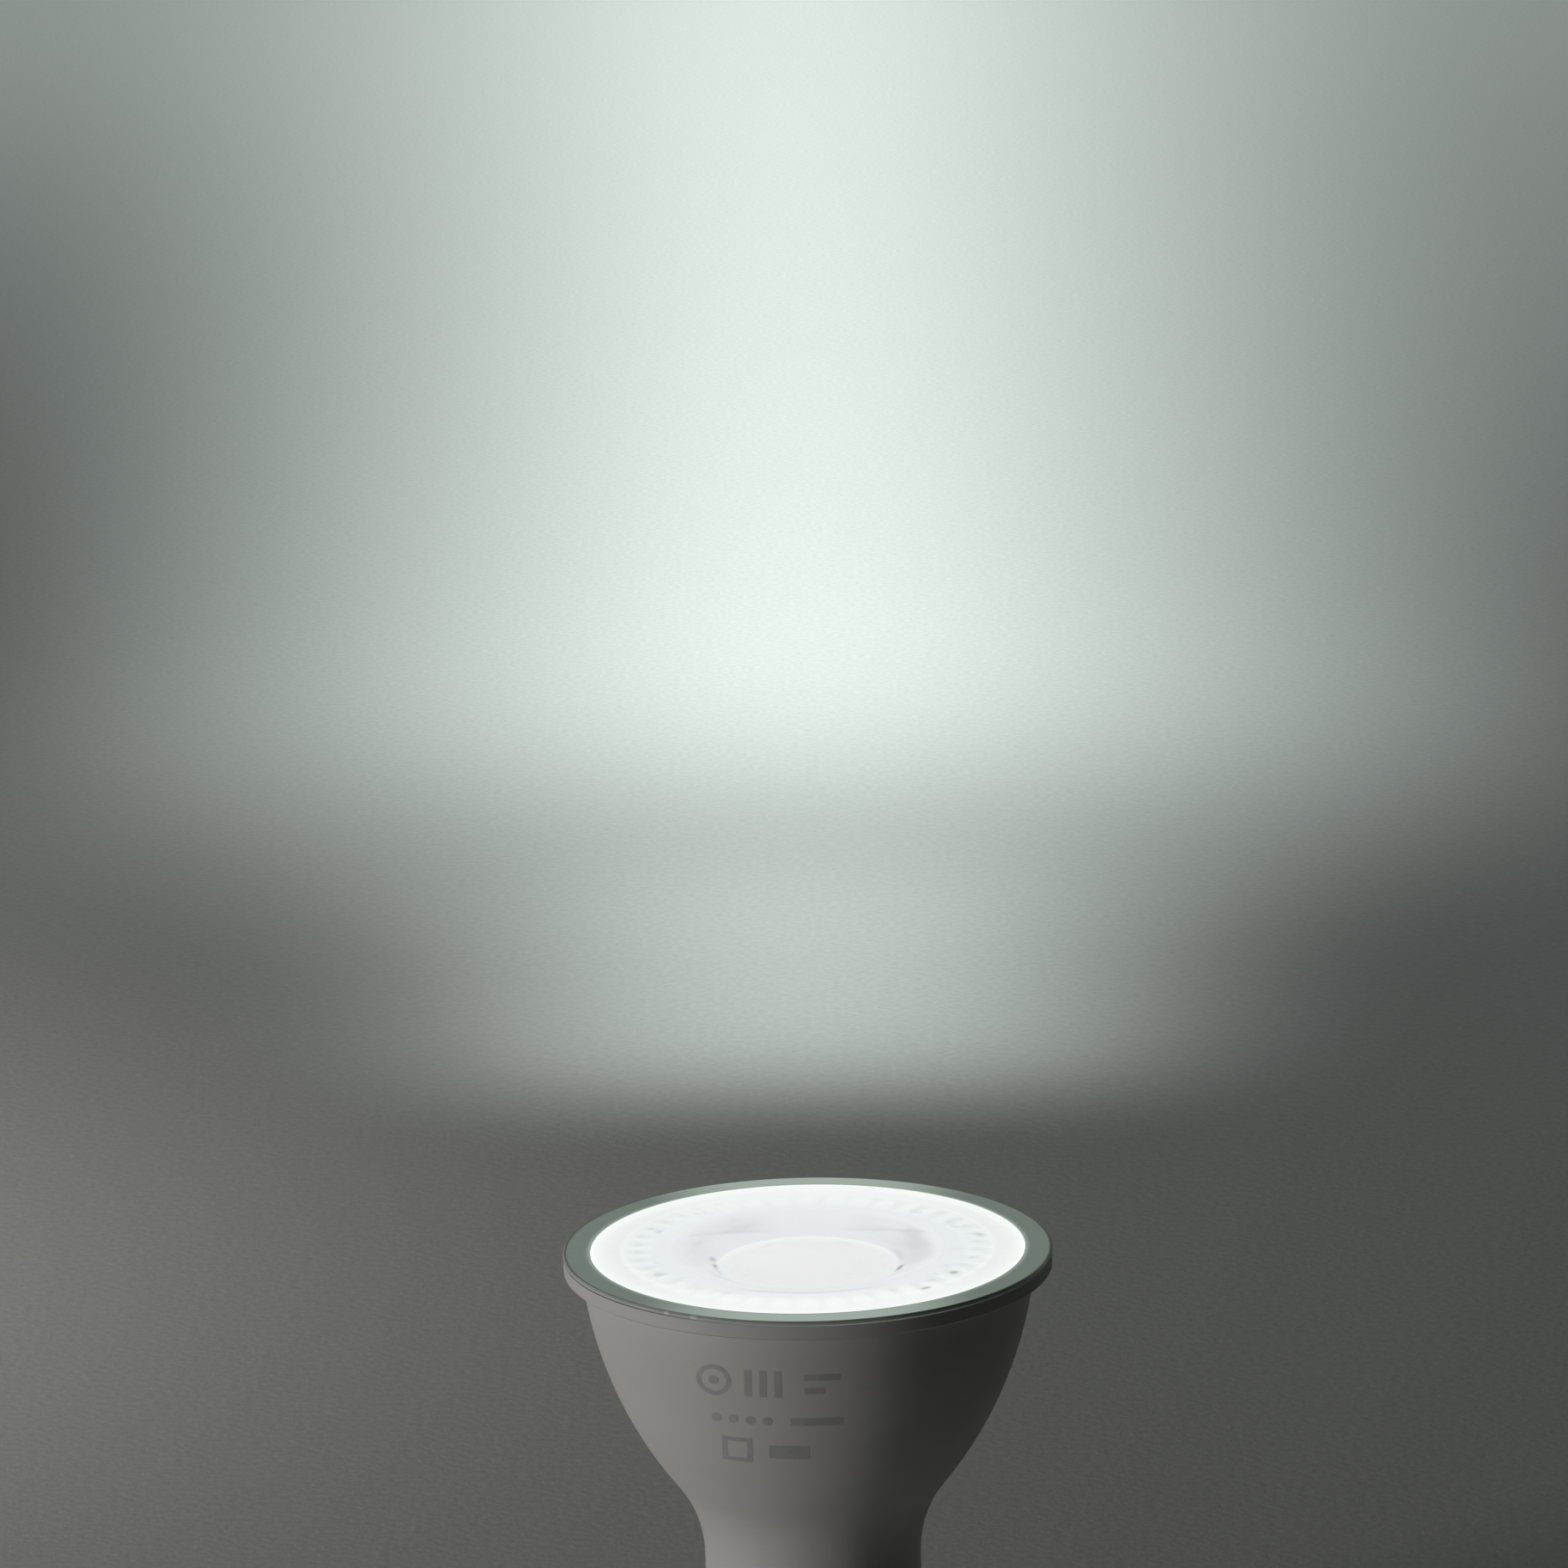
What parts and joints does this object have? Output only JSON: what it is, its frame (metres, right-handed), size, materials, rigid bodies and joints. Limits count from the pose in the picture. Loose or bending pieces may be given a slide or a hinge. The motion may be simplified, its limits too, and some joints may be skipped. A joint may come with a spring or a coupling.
{
  "type": "spotlight bulb",
  "caption": "Reflector-shaped LED spotlight bulb: white bowl narrowing to a neck and twist-lock cap with headed pins, flat bezel round a lit clear lens with dome and prism ring.",
  "frame": {"origin": "midway between the two cap pins, on the flat end face of the cap", "axes": "+Z along the lamp's axis from the cap to the lens; X runs through the two pins"},
  "size_m": [0.05, 0.05, 0.055],
  "materials": {
    "bezel_plastic": "greenish grey translucent plastic, satin",
    "board_laminate": "green glass-fibre laminate",
    "capacitor_can": "aluminium can in a dark sleeve",
    "chip_ceramic": "black glazed chip resistor",
    "clear_lens": "clear moulded plastic with a frosted middle, lit from below",
    "copper_winding": "enamelled copper wire",
    "emitter_base": "white ceramic-filled base",
    "ferrite": "dark ferrite",
    "housing_plastic": "white moulded polyester, fine satin surface",
    "lead_red": "red insulated wire",
    "lead_white": "white insulated wire",
    "metal_core_board": "aluminium board with white solder mask",
    "package_black": "black moulded package with tinned legs",
    "phosphor": "yellow phosphor, lit",
    "pin_metal": "nickel-plated brass, turned",
    "resistor_coat": "green flame-proof coating",
    "screw_steel": "zinc-plated steel",
    "sink_aluminium": "deep-drawn aluminium",
    "taped_winding": "copper winding under yellow tape",
    "thermal_rubber": "grey thermal pad"
  },
  "bodies": {
    "root": {"board_screw_1": "screw_steel", "board_screw_2": "screw_steel", "bridge_rectifier": "package_black", "bulk_capacitor": "capacitor_can", "chip_resistor_1": "chip_ceramic", "chip_resistor_2": "chip_ceramic", "chip_resistor_3": "chip_ceramic", "chip_resistor_4": "chip_ceramic", "driver_board": "board_laminate", "driver_ic": "package_black", "front_bezel": "bezel_plastic", "fuse_resistor": "resistor_coat", "heat_sink": "sink_aluminium", "housing": "housing_plastic", "inductor_core": "ferrite", "inductor_winding": "copper_winding", "led_board": "metal_core_board", "led_emitter": "emitter_base", "led_lead_negative": "lead_white", "led_lead_positive": "lead_red", "live_lead": "lead_red", "neutral_lead": "lead_white", "optic_lens": "clear_lens", "output_capacitor": "capacitor_can", "output_diode": "package_black", "phosphor_disc": "phosphor", "pin_left": "pin_metal", "pin_right": "pin_metal", "thermal_pad": "thermal_rubber", "transformer_core": "ferrite", "transformer_winding": "taped_winding"}
  },
  "joints": []
}
